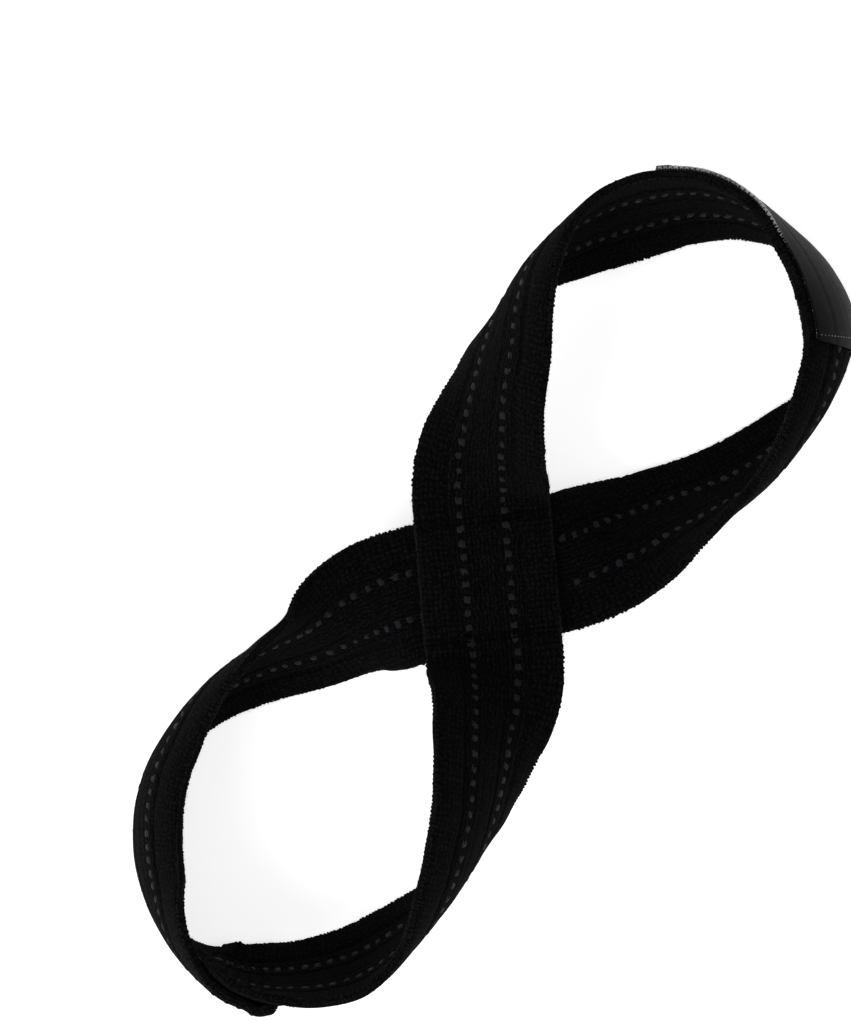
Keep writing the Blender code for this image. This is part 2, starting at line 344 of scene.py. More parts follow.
class Route:
    """The strip's way round, measured along its middle line, in the row frame."""

    def __init__(self):
        upper = loop_sections(UPPER_SECTIONS, UPPER_REACH, turned=False)
        middle, chord, outer, bow = loop_sections(LOWER_SECTIONS, LOWER_REACH, turned=True)
        lower = (middle[::-1], -chord[::-1], outer[::-1], bow[::-1])
        self.middle, self.chord, self.outer, bow = [
            np.concatenate([first[:-1], second[:-1]]) for first, second in zip(upper, lower)]
        self.angle = half_angle(bow)
        radius = WEBBING_WIDTH / (2 * self.angle)
        centre = self.middle + (radius * (1 - np.cos(self.angle)))[:, None] * self.outer
        steps = np.linalg.norm(np.roll(centre, -1, axis=0) - centre, axis=1)
        self.distance = np.concatenate([[0.0], np.cumsum(steps)])
        self.round = self.distance[-1]
        upper_steps = (len(UPPER_SECTIONS) - 1) * FINE_STEPS
        lower_steps = (len(LOWER_SECTIONS) - 1) * FINE_STEPS
        self.spacing = self.round / round(self.round / STATION_SPACING)
        self.lap = LAP_STEPS * self.spacing
        self.length = self.round + self.lap
        lap_middle = self.distance[upper_steps + round((1 - LAP_MIDDLE_SHARE) * lower_steps)]
        self.start = lap_middle - self.lap / 2
        self.crossing = {"lower": self.round - self.start,
                         "upper": self.round + self.distance[upper_steps] - self.start}
        label_middle = self.distance[round(LABEL_MIDDLE_SHARE * upper_steps)]
        first = round((label_middle - self.start) / self.spacing - LABEL_STEPS / 2)
        self.label_start = self.round + first * self.spacing
        self.label_length = LABEL_STEPS * self.spacing

    def at(self, distance, values):
        """The route's values at distances along the strip from its first cut end."""
        rest = np.mod(distance + self.start, self.round)
        looped = np.concatenate([values, values[:1]])
        if looped.ndim == 1:
            return np.interp(rest, self.distance, looped)
        return np.column_stack([np.interp(rest, self.distance, column) for column in looped.T])

    def lapped(self, distance):
        """Which side of the lap the strip is on: 1 at its first end, -1 at its last, 0 away from it."""
        head = 1 - np.clip((distance - self.lap) / LAP_RAMP, 0, 1)
        tail = 1 - np.clip((self.length - distance - self.lap) / LAP_RAMP, 0, 1)
        return ease(head) - ease(tail)

    def loosened(self, distance, across, outwards):
        """Distance and length out with the slack of the two cut ends."""
        low, top = np.clip(2 * across, 0, 1) ** 2, np.clip(-2 * across, 0, 1) ** 2
        curl = ease(np.clip(1 - np.abs(self.length - distance - CURL_REACH) / CURL_REACH, 0, 1))
        bulge = ease(np.clip(1 - np.abs(distance - BULGE_PLACE) / BULGE_REACH, 0, 1))
        tucked = ease(np.clip(1 - distance / BULGE_PLACE, 0, 1))
        raised = (BULGE_HEIGHT * bulge - TUCK_DEPTH * tucked) * top
        return (distance + CUT_ASKEW * top * np.clip(1 - distance / CUT_REACH, 0, 1),
                outwards - CURL_DEPTH * low * curl + raised)

    def place(self, distance, across, outwards):
        """Points on the strip: distance along it, share across it, length out from its middle surface."""
        distance, outwards = self.loosened(distance, across, outwards)
        lapped = self.lapped(distance)
        across = across + lapped * LAP_OFFSET / 2 / WEBBING_WIDTH
        outwards = outwards + lapped * (WEBBING_THICKNESS + SEWN_GAP) / 2
        angle = self.at(distance, self.angle)
        radius = WEBBING_WIDTH / (2 * angle)
        turn = 2 * angle * across
        sideways = (radius + outwards) * np.sin(turn)
        rise = (radius + outwards) * np.cos(turn) - radius * np.cos(angle)
        points = (self.at(distance, self.middle) + sideways[:, None] * unit(self.at(distance, self.chord))
                  + rise[:, None] * unit(self.at(distance, self.outer)) + SETTLED_BY)
        points[:, 2] = np.maximum(points[:, 2], 0.0)
        return points

    def axes(self, distance, across, outwards):
        """Along, across and out directions on the strip at given places, one 3 by 3 matrix each."""
        step = 0.0005
        ahead = unit(self.place(distance + step, across, outwards)
                     - self.place(distance - step, across, outwards))
        aside = self.place(distance, across + 0.01, outwards) - self.place(distance, across - 0.01, outwards)
        out = unit(np.cross(ahead, aside))
        return np.stack([ahead, np.cross(out, ahead), out], axis=1)


ROUTE = Route()


def covered(face, distance):
    """Whether the strip's face is hidden at a distance, by the crossing, the label or the lap."""
    crossed = min(abs(distance - middle) for middle in ROUTE.crossing.values()) < CROSSING_COVER
    labelled = 0 < distance - ROUTE.label_start < ROUTE.label_length
    lapped = face * ROUTE.lapped(np.array([distance]))[0] < -0.97
    return (face < 0 and crossed) or (face > 0 and labelled) or lapped


def select_only(item):
    """Selects one object alone and makes it active."""
    bpy.ops.object.select_all(action="DESELECT")
    item.select_set(True)
    bpy.context.view_layer.objects.active = item


def finish_piece(piece, material):
    """Gives a finished piece its material and its ride on the frame."""
    piece.data.materials.clear()
    piece.data.materials.append(material)
    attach(piece, "root")


def cloth_grid(name, steps, columns):
    """A flat grid of steps by len(columns) points, with each point's place along and across it."""
    bpy.ops.object.select_all(action="DESELECT")
    bpy.ops.mesh.primitive_grid_add(x_subdivisions=steps, y_subdivisions=len(columns) - 1, size=1.0)
    cloth = bpy.context.object
    cloth.name = cloth.data.name = name
    flat = np.empty(len(cloth.data.vertices) * 3)
    cloth.data.vertices.foreach_get("co", flat)
    flat = flat.reshape(-1, 3)
    along = np.rint((flat[:, 0] + 0.5) * steps).astype(int)
    across = np.rint((flat[:, 1] + 0.5) * (len(columns) - 1)).astype(int)
    return cloth, along, across


def lay_cloth(cloth, points, distance, share, thickness):
    """Moves a grid's points to their places, writes its weave map and gives it its thickness."""
    mesh = cloth.data
    mesh.vertices.foreach_set("co", points.ravel())
    corners = np.empty(len(mesh.loops), dtype=int)
    mesh.loops.foreach_get("vertex_index", corners)
    weave = mesh.uv_layers[0]
    weave.name = "weave"
    places = np.column_stack([distance, share * WEBBING_WIDTH])[corners] * MAP_SCALE
    weave.data.foreach_set("uv", places.ravel())
    group = cloth.vertex_groups.new(name="thickness")
    most = thickness.max()
    for value in np.unique(thickness):
        group.add(np.nonzero(thickness == value)[0].tolist(), float(value / most), "REPLACE")
    solid = cloth.modifiers.new("thickness", "SOLIDIFY")
    solid.thickness = float(most)
    solid.offset = 0.0
    solid.vertex_group = group.name
    select_only(cloth)
    bpy.ops.object.modifier_apply(modifier=solid.name)
    cloth.vertex_groups.clear()
    bpy.ops.object.shade_smooth()


def floor_points(piece):
    """Presses a piece's points that dip under the floor back onto it."""
    points = np.empty(len(piece.data.vertices) * 3)
    piece.data.vertices.foreach_get("co", points)
    points = points.reshape(-1, 3)
    points[:, 2] = np.maximum(points[:, 2], 0.0)
    piece.data.vertices.foreach_set("co", points.ravel())
    piece.data.update()


def copies(name, model, origins, axes, scales):
    """One mesh of many copies of a small model, each scaled, turned and put in its place."""
    points = np.array([vertex.co[:] for vertex in model.data.vertices])
    faces = [tuple(face.vertices) for face in model.data.polygons]
    placed = np.einsum("nki,nij->nkj", points[None] * scales[:, None, :], axes) + origins[:, None, :]
    firsts = range(0, len(origins) * len(points), len(points))
    mesh = bpy.data.meshes.new(name)
    mesh.from_pydata(placed.reshape(-1, 3).tolist(), [],
                     [tuple(first + corner for corner in face) for first in firsts for face in faces])
    piece = bpy.data.objects.new(name, mesh)
    bpy.context.scene.collection.objects.link(piece)
    bpy.data.objects.remove(model, do_unlink=True)
    select_only(piece)
    bpy.ops.object.shade_smooth()
    floor_points(piece)
    return piece


def yarn_bead(segments, rings, dive=0.0):
    """A small round bead of yarn lying along X, one unit in radius; dive presses its ends down."""
    bpy.ops.object.select_all(action="DESELECT")
    bpy.ops.mesh.primitive_uv_sphere_add(segments=segments, ring_count=rings, radius=1.0)
    bead = bpy.context.object
    for vertex in bead.data.vertices:
        x, y, z = vertex.co
        vertex.co = (z, y, -x - dive * z ** 4)
    return bead


def fibre_model():
    """One loose fibre, bent over, from its root at the origin to its tip."""
    fibre = yarn_bead(3, 4)
    for vertex in fibre.data.vertices:
        x, y, z = vertex.co
        gone = 0.5 + 0.5 * x
        vertex.co = (gone, FIBRE_THICKNESS * y, FIBRE_THICKNESS * z + FIBRE_BEND * gone ** 2)
    return fibre


def turned_about_out(axes, angle):
    """Axes turned about their out direction."""
    cos, sin = np.cos(angle)[:, None], np.sin(angle)[:, None]
    along, aside = axes[:, 0], axes[:, 1]
    return np.stack([cos * along + sin * aside, cos * aside - sin * along, axes[:, 2]], axis=1)


def facing(axes, out):
    """Axes turned over where they lie on the inner face, so that they all point out of the cloth."""
    axes[out < 0] *= np.array([1.0, -1.0, -1.0])[:, None]
    return axes


def node_tree(name):
    """A new material's nodes and links, with its Principled shader."""
    material = bpy.data.materials.new(name)
    material.use_nodes = True
    tree = material.node_tree
    return material, tree, tree.nodes["Principled BSDF"]


def math_node(tree, operation, *inputs):
    """A math node; each input is a number or another node's output."""
    node = tree.nodes.new("ShaderNodeMath")
    node.operation = operation
    for socket, value in zip(node.inputs, inputs):
        if isinstance(value, (int, float)):
            socket.default_value = value
        else:
            tree.links.new(value, socket)
    return node.outputs[0]


def waves(tree, place, pitch):
    """Height of a row of round yarns across a place value, 0 between two yarns and 1 on top of one."""
    turns = math_node(tree, "MULTIPLY", place, math.pi / pitch)
    return math_node(tree, "ABSOLUTE", math_node(tree, "SINE", turns))


def weighted(tree, *parts):
    """The sum of values, each times its weight."""
    products = [math_node(tree, "MULTIPLY", value, weight) for value, weight in parts]
    total = products[0]
    for product in products[1:]:
        total = math_node(tree, "ADD", total, product)
    return total


def lifted(tree, value, low):
    """A value from 0 to 1 squeezed to run from low to 1."""
    return math_node(tree, "ADD", low, math_node(tree, "MULTIPLY", value, 1 - low))


def shade(colour, factor):
    """A colour made lighter or darker by a factor."""
    return tuple(factor * channel for channel in colour)


def noise(tree, vector, scale, detail=2.0, roughness=0.5):
    """A noise texture's factor."""
    node = tree.nodes.new("ShaderNodeTexNoise")
    node.inputs["Scale"].default_value = scale
    node.inputs["Detail"].default_value = detail
    node.inputs["Roughness"].default_value = roughness
    tree.links.new(vector, node.inputs["Vector"])
    return node.outputs["Fac"]


def ramp(tree, factor, *stops):
    """A colour ramp through (position, grey or colour) stops."""
    node = tree.nodes.new("ShaderNodeValToRGB")
    elements = node.color_ramp.elements
    while len(elements) < len(stops):
        elements.new(0.5)
    for element, (position, colour) in zip(elements, stops):
        element.position = position
        element.color = (*((colour,) * 3 if isinstance(colour, (int, float)) else colour[:3]), 1.0)
    tree.links.new(factor, node.inputs["Fac"])
    return node.outputs["Color"]


def bump(tree, shader, height, distance):
    """A bump from a height in units of distance."""
    node = tree.nodes.new("ShaderNodeBump")
    node.inputs["Distance"].default_value = distance
    tree.links.new(height, node.inputs["Height"])
    tree.links.new(node.outputs["Normal"], shader.inputs["Normal"])


def coordinates(tree):
    """The place in the object's own frame."""
    return tree.nodes.new("ShaderNodeTexCoord").outputs["Object"]


def weave_places(tree):
    """The places along and across a cloth, from its weave map."""
    uv = tree.nodes.new("ShaderNodeUVMap")
    uv.uv_map = "weave"
    split = tree.nodes.new("ShaderNodeSeparateXYZ")
    tree.links.new(uv.outputs["UV"], split.inputs["Vector"])
    return split.outputs["X"], split.outputs["Y"]


def webbing_material(settings):
    """Black cotton: plain-woven selvedges, a ribbed middle, random grain, yarn tops painted lighter as a
    highlight and the gaps between yarns painted darker as shade.
    """
    material, tree, shader = node_tree("webbing_cotton")
    from_end, from_middle = weave_places(tree)
    place = coordinates(tree)
    wobble = math_node(tree, "MULTIPLY", math_node(tree, "SUBTRACT", noise(tree, place, 420.0), 0.5), 0.22)
    along = math_node(tree, "ADD", from_end, wobble)
    across = math_node(tree, "ADD", from_middle, wobble)
    pitch = settings.weave_pitch * MAP_SCALE
    plain = math_node(tree, "MULTIPLY", waves(tree, along, pitch), waves(tree, across, 0.95 * pitch))
    plain = math_node(tree, "POWER", plain, 0.6)
    twist = lifted(tree, waves(tree, along, RIB_TWIST * MAP_SCALE), 0.55)
    ribs = math_node(tree, "MULTIPLY", waves(tree, across, RIB_PITCH * MAP_SCALE), twist)
    selvedge = math_node(tree, "GREATER_THAN", math_node(tree, "ABSOLUTE", from_middle),
                         SELVEDGE_FROM * MAP_SCALE)
    weave = weighted(tree, (plain, selvedge), (ribs, math_node(tree, "SUBTRACT", 1.0, selvedge)))
    fibres = noise(tree, place, 2400.0, 3.0, 0.7)
    clumps = noise(tree, place, 1100.0, 2.0, 0.6)
    bump(tree, shader, weighted(tree, (weave, 0.5), (fibres, 0.9), (clumps, 0.9)), 0.00040)
    grain = weighted(tree, (fibres, 0.55), (clumps, 0.45))
    # Painted light and shade: the weave lifts the yarn tops to a painted highlight and leaves painted shade
    # between the yarns, over the cotton's random grain.
    grain_and_painted_weave_light = math_node(tree, "MULTIPLY", lifted(tree, weave, 0.7), grain)
    colour = tuple(settings.cotton_colour)
    tree.links.new(ramp(tree, grain_and_painted_weave_light, (0.28, shade(colour, 0.25)), (0.42, colour), (0.60, shade(colour, 4.5))),
                   shader.inputs["Base Color"])
    tree.links.new(ramp(tree, fibres, (0.3, 0.85), (0.8, 0.98)), shader.inputs["Roughness"])
    shader.inputs["Specular IOR Level"].default_value = 0.015
    shader.inputs["Sheen Weight"].default_value = 0.010
    shader.inputs["Sheen Roughness"].default_value = 0.5
    return material


def yarn_material(name, colour, roughness, twist, sheen, specular):
    """A spun yarn or thread: fine fibre noise in its height and colour."""
    material, tree, shader = node_tree(name)
    place = coordinates(tree)
    fibres = noise(tree, place, twist, 3.0, 0.7)
    bump(tree, shader, fibres, 0.00025)
    worn = weighted(tree, (fibres, 0.6), (noise(tree, place, 170.0, 1.0), 0.4))
    tree.links.new(ramp(tree, worn, (0.34, shade(colour, 0.35)), (0.68, shade(colour, 2.2))),
                   shader.inputs["Base Color"])
    shader.inputs["Roughness"].default_value = roughness
    shader.inputs["Specular IOR Level"].default_value = specular
    shader.inputs["Sheen Weight"].default_value = sheen
    return material


def satin_material(settings):
    """Charcoal woven satin with fine weft lines and a soft gloss."""
    material, tree, shader = node_tree("label_satin")
    along, across = weave_places(tree)
    place = coordinates(tree)
    wefts = waves(tree, along, SATIN_WEFT_PITCH * MAP_SCALE)
    warps = waves(tree, across, SATIN_WARP_PITCH * MAP_SCALE)
    weave = weighted(tree, (wefts, 0.6), (warps, 0.4))
    bump(tree, shader, weighted(tree, (weave, 1.0), (noise(tree, place, 3000.0), 0.4)), 0.00008)
    mixed = weighted(tree, (weave, 0.5), (noise(tree, place, 90.0), 0.5))
    colour = tuple(settings.satin_colour)
    tree.links.new(ramp(tree, mixed, (0.2, shade(colour, 0.7)), (0.8, shade(colour, 1.3))),
                   shader.inputs["Base Color"])
    shader.inputs["Roughness"].default_value = 0.48
    shader.inputs["Specular IOR Level"].default_value = 0.04
    shader.inputs["Sheen Weight"].default_value = 0.01
    shader.inputs["Sheen Roughness"].default_value = 0.35
    return material


class StrapWebbingSettings(bpy.types.PropertyGroup):
    """Sizes and colours of the webbing's weave."""
    weave_pitch: FloatProperty(
        name="Weave pitch", description="Distance between two yarns of the selvedges",
        default=0.0015, min=0.0005, max=0.005, unit="LENGTH", precision=4)
    tracer_pitch: FloatProperty(
        name="Tracer pitch", description="Distance between two floats of a tracer yarn",
        default=0.00395, min=0.001, max=0.01, unit="LENGTH", precision=5)
    weft_pitch: FloatProperty(
        name="Weft pitch", description="Distance between two turns of the weft at the edges",
        default=0.00110, min=0.0005, max=0.005, unit="LENGTH", precision=5)
    cotton_colour: FloatVectorProperty(
        name="Cotton", description="Colour of the cotton yarn", subtype="COLOR",
        size=3, default=(0.0017, 0.0017, 0.0018), min=0.0, max=1.0)
    tracer_colour: FloatVectorProperty(
        name="Tracer", description="Colour of the tracer yarn", subtype="COLOR",
        size=3, default=(0.0037, 0.0040, 0.0064), min=0.0, max=1.0)


class StrapSewingSettings(bpy.types.PropertyGroup):
    """Sizes and colours of the seams and the label."""
    stitch_pitch: FloatProperty(
        name="Stitch pitch", description="Distance between two stitches of a seam",
        default=0.0034, min=0.001, max=0.01, unit="LENGTH", precision=4)
    thread_radius: FloatProperty(
        name="Thread radius", description="Half the thickness of the sewing thread",
        default=0.0003, min=0.0001, max=0.002, unit="LENGTH", precision=5)
    border_pitch: FloatProperty(
        name="Border pitch", description="Distance between two stitches round the label",
        default=0.0007, min=0.0003, max=0.005, unit="LENGTH", precision=5)
    thread_colour: FloatVectorProperty(
        name="Thread", description="Colour of the sewing thread", subtype="COLOR",
        size=3, default=(0.0006, 0.0006, 0.0007), min=0.0, max=1.0)
    satin_colour: FloatVectorProperty(
        name="Label", description="Colour of the label's satin", subtype="COLOR",
        size=3, default=(0.0028, 0.0028, 0.0030), min=0.0, max=1.0)
    border_colour: FloatVectorProperty(
        name="Border", description="Colour of the label's border thread", subtype="COLOR",
        size=3, default=(0.26, 0.26, 0.265), min=0.0, max=1.0)


class StageSettings(bpy.types.PropertyGroup):
    """Colour of the floor and height of the camera."""
    floor_colour: FloatVectorProperty(
        name="Floor", description="Colour of the floor", subtype="COLOR",
        size=3, default=(0.86, 0.86, 0.86), min=0.0, max=1.0)
    camera_distance: FloatProperty(
        name="Camera distance", description="Height of the camera over the crossing",
        default=7.0, min=1.0, max=12.0, unit="LENGTH")


def strip_profile():
    """The strip's columns from edge to edge, and its thickness at each."""
    profile = named_columns(PROFILE_COLUMNS, STRIP_PROFILE)
    return profile["share"], profile["thickness"]


class STRAP_OT_webbing(bpy.types.Operator):
    """Weaves the strip: a long grid laid along the route, thickened to its ribbed profile"""
    bl_idname = "strap.webbing"
    bl_label = "Webbing"

    def execute(self, context):
        columns, profile = strip_profile()
        steps = round(ROUTE.length / STRIP_STATION)
        cloth, along, across = cloth_grid("webbing_cloth", steps, columns)
        distance, share = along * ROUTE.length / steps, columns[across]
        slack = 0.00012 * np.sin(distance * 190.0) + 0.00010 * np.sin(distance * 437.0 + 1.3)
        slack = slack * np.abs(share) * 2
        dent = sum(np.exp(-((distance - middle - offset) / SEAM_DENT_REACH) ** 2)
                   for middle in ROUTE.crossing.values() for offset in SEAM_OFFSETS)
        points = ROUTE.place(distance, share + slack / WEBBING_WIDTH, slack - SEAM_DENT * dent)
        lay_cloth(cloth, points, distance, share, profile[across])
        floor_points(cloth)
        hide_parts("webbing")
        finish_piece(cloth, webbing_material(context.scene.strap_webbing))
        return {"FINISHED"}


class STRAP_OT_tracers(bpy.types.Operator):
    """Adds the floats of the tracer yarns, two dotted rows on each face"""
    bl_idname = "strap.tracers"
    bl_label = "Tracer yarns"

    def execute(self, context):
        settings = context.scene.strap_webbing
        draw = np.random.default_rng(7)
        along, across, out, angle, size = [], [], [], [], []
        for face in (-1, 1):
            for row, start in ((-TRACER_SHARE, 0.0020), (TRACER_SHARE, 0.0023)):
                for distance in np.arange(start, ROUTE.length - 0.001, settings.tracer_pitch):
                    if covered(face, distance):
                        continue
                    middle = distance + draw.normal(0, 0.00016)
                    aside = draw.normal(0, 0.00012)
                    plump = draw.normal(1.0, 0.10)
                    for strand in (-1.5, -0.5, 0.5, 1.5):
                        along.append(middle + draw.normal(0, 0.00014))
                        across.append(row + (aside + strand * STRAND_PITCH * plump) / WEBBING_WIDTH)
                        out.append(face * (FLOAT_OUT - STRAND_DROP * strand ** 2))
                        angle.append(draw.normal(0, 0.09))
                        length = draw.normal(STRAND_LENGTH, 0.00014)
                        size.append((length, STRAND_WIDTH * plump, draw.normal(STRAND_HEIGHT, 0.00003)))
        along, across, out, angle, size = arrays(along, across, out, angle, size)
        axes = turned_about_out(facing(ROUTE.axes(along, across, out), out), angle)
        floats = copies("tracer_floats", yarn_bead(6, 6, 1.2), ROUTE.place(along, across, out), axes, size)
        yarn = yarn_material("tracer_yarn", settings.tracer_colour,
                             roughness=0.75, twist=2200.0, sheen=0.1, specular=0.15)
        finish_piece(floats, yarn)
        return {"FINISHED"}


class STRAP_OT_selvedge_turns(bpy.types.Operator):
    """Adds the turns of the weft round both edges of the strip"""
    bl_idname = "strap.selvedge_turns"
    bl_label = "Selvedge turns"

    def execute(self, context):
        settings = context.scene.strap_webbing
        draw = np.random.default_rng(11)
        along, across, out = [], [], []
        for edge in (-1, 1):
            for row, level in enumerate((-KNOB_LEVEL, 0.0, KNOB_LEVEL)):
                steps = np.arange(0.0006 + (row % 2) * settings.weft_pitch / 2, ROUTE.length - 0.0006,
                                  settings.weft_pitch)
                along.append(steps)
                across.append(np.full(len(steps), edge * (0.4950 if row == 1 else 0.4885)))
                out.append(np.full(len(steps), level))
        along, across, out = (np.concatenate(values) for values in (along, across, out))
        count = len(along)
        along = along + draw.normal(0, 0.00013, count)
        across = across + np.sign(across) * draw.normal(0, 0.0022, count)
        size = np.column_stack([draw.normal(mean, 0.00006, count) for mean in KNOB_SIZE])
        turns = copies("selvedge_turns", yarn_bead(6, 5), ROUTE.place(along, across, out),
                       ROUTE.axes(along, across, out), size)
        yarn = yarn_material("weft_yarn", settings.cotton_colour,
                             roughness=0.95, twist=2400.0, sheen=0.05, specular=0.03)
        finish_piece(turns, yarn)
        return {"FINISHED"}


class STRAP_OT_seams(bpy.types.Operator):
    """Sews the crossing and the lapped ends"""
    bl_idname = "strap.seams"
    bl_label = "Seams"

    def execute(self, context):
        settings = context.scene.strap_sewing
        draw = np.random.default_rng(23)
        steps = np.arange(-0.46, 0.461, settings.stitch_pitch / WEBBING_WIDTH)
        places = [(middle + offset + row, share, STITCH_OUT, math.pi / 2)
                  for middle in (ROUTE.crossing["upper"], ROUTE.crossing["lower"])
                  for offset in SEAM_OFFSETS for row in (-0.0008, 0.0008) for share in steps]
        lap_steps = np.arange(-0.45, 0.451, LAP_STITCH_PITCH / WEBBING_WIDTH)
        for middle, face in ((ROUTE.lap / 2, 1), (ROUTE.length - ROUTE.lap / 2, -1)):
            for offset in LAP_SEAM_OFFSETS:
                for step, share in enumerate(lap_steps):
                    slant = 0.55 if step % 2 else -0.55
                    places.append((middle + offset, share, face * STITCH_OUT, math.pi / 2 + slant))
        distance, across, out, angle = arrays(*zip(*places))
        count = len(distance)
        length = 0.45 * settings.stitch_pitch * (1 + draw.normal(0, 0.04, count))
        thick = np.full(count, settings.thread_radius)
        angle = angle + draw.normal(0, 0.05, count)
        axes = turned_about_out(facing(ROUTE.axes(distance, across, out), out), angle)
        stitches = copies("seam_stitches", yarn_bead(8, 8, 1.6), ROUTE.place(distance, across, out), axes,
                          np.column_stack([length, thick, thick]))
        thread = yarn_material("sewing_thread", settings.thread_colour,
                               roughness=0.8, twist=2400.0, sheen=0.01, specular=0.02)
        finish_piece(stitches, thread)
        return {"FINISHED"}


class STRAP_OT_fuzz(bpy.types.Operator):
    """Raises loose cotton fibres along the edges and on the faces"""
    bl_idname = "strap.fuzz"
    bl_label = "Fuzz"

    def execute(self, context):
        settings = context.scene.strap_webbing
        draw = np.random.default_rng(41)
        count = EDGE_FIBRES + FACE_FIBRES
        along = draw.uniform(0.0005, ROUTE.length - 0.0005, count)
        across = np.concatenate([np.sign(draw.uniform(-1, 1, EDGE_FIBRES)) * 0.499,
                                 draw.uniform(-0.48, 0.48, FACE_FIBRES)])
        face = np.sign(draw.uniform(-1, 1, count))
        from_label = along - ROUTE.label_start
        face[(face > 0) & (from_label > 0) & (from_label < ROUTE.label_length)] = -1.0
        out = face * np.concatenate([draw.uniform(0, 0.0009, EDGE_FIBRES), np.full(FACE_FIBRES, FIBRE_OUT)])
        axes = ROUTE.axes(along, across, out)
        lead = np.concatenate([axes[:EDGE_FIBRES, 1] * np.sign(across[:EDGE_FIBRES])[:, None],
                               axes[EDGE_FIBRES:, 2] * face[EDGE_FIBRES:, None]])
        lead = unit(lead + draw.normal(0, 0.55, lead.shape))
        aside = unit(np.cross(lead, draw.normal(0, 1, lead.shape)))
        length = draw.uniform(*FIBRE_LENGTH, count)
        fibres = copies("cotton_fuzz", fibre_model(), ROUTE.place(along, across, out),
                        np.stack([lead, aside, np.cross(lead, aside)], axis=1),
                        np.column_stack([length, length, length]))
        yarn = yarn_material("loose_fibre", settings.cotton_colour,
                             roughness=0.9, twist=2400.0, sheen=0.05, specular=0.05)
        finish_piece(fibres, yarn)
        return {"FINISHED"}


class STRAP_OT_end_threads(bpy.types.Operator):
    """Frays the warp yarns at the strip's two cut ends"""
    bl_idname = "strap.end_threads"
    bl_label = "End threads"

    def execute(self, context):
        settings = context.scene.strap_webbing
        draw = np.random.default_rng(43)
        share = np.tile(np.repeat(np.linspace(-0.485, 0.485, 40), 3), 2)
        count = len(share)
        last = np.arange(count) >= count // 2
        along = np.where(last, ROUTE.length - 0.0002, 0.0002)
        out = np.tile([-0.0009, 0.0, 0.0009], count // 3) + draw.normal(0, 0.0002, count)
        axes = ROUTE.axes(along, share, out)
        lead = np.where(last, 1.0, -1.0)[:, None] * axes[:, 0]
        lead = unit(lead + draw.normal(0, 0.16, lead.shape))
        aside = unit(np.cross(lead, draw.normal(0, 1, lead.shape)))
        length = draw.uniform(0.0005, 0.0012, count)
        length[draw.uniform(0, 1, count) > 0.93] *= 2.4
        thick = draw.normal(0.00030, 0.00004, count)
        threads = copies("end_threads", yarn_bead(6, 6), ROUTE.place(along, share, out),
                         np.stack([lead, aside, np.cross(lead, aside)], axis=1),
                         np.column_stack([length, thick, thick]))
        yarn = yarn_material("end_yarn", settings.cotton_colour,
                             roughness=0.9, twist=2400.0, sheen=0.05, specular=0.03)
        finish_piece(threads, yarn)
        return {"FINISHED"}


def label_spot(from_start, share, out):
    """A place on the label: it is sewn a little askew and its top edge stands off towards its far end."""
    gone = from_start / ROUTE.label_length
    off = np.clip((share - LABEL_HIGH + 0.07) / 0.07, 0, 1) ** 2 * ease(np.clip((gone - 0.3) / 0.3, 0, 1))
    askew = LABEL_ASKEW / WEBBING_WIDTH * (gone - 0.5)
    return ROUTE.label_start + from_start, share + askew, out + LABEL_STAND_OFF * off


class STRAP_OT_label(bpy.types.Operator):
    """Weaves the bare satin label, hemmed at both ends"""
    bl_idname = "strap.label"
    bl_label = "Label"

    def execute(self, context):
        columns = np.linspace(LABEL_LOW, LABEL_HIGH, 45)
        steps = 150
        cloth, along, across = cloth_grid("label_cloth", steps, columns)
        from_start = along * ROUTE.label_length / steps
        share = columns[across]
        from_end = np.minimum(from_start, ROUTE.label_length - from_start)
        hem = 1 - np.clip((from_end - HEM_WIDTH) / HEM_STEP, 0, 1)
        profile_share, profile = strip_profile()
        under = np.interp(share, profile_share, profile)
        sag = 0.25 * (under - WEBBING_THICKNESS) / 2
        thickness = LABEL_CLOTH + HEM_FOLD * ease(hem)
        out = WEBBING_THICKNESS / 2 + LABEL_CLEARANCE + sag + thickness / 2
        points = ROUTE.place(*label_spot(from_start, share, out))
        lay_cloth(cloth, points, from_start, share, np.round(thickness, 5))
        floor_points(cloth)
        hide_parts("label")
        finish_piece(cloth, satin_material(context.scene.strap_sewing))
        return {"FINISHED"}


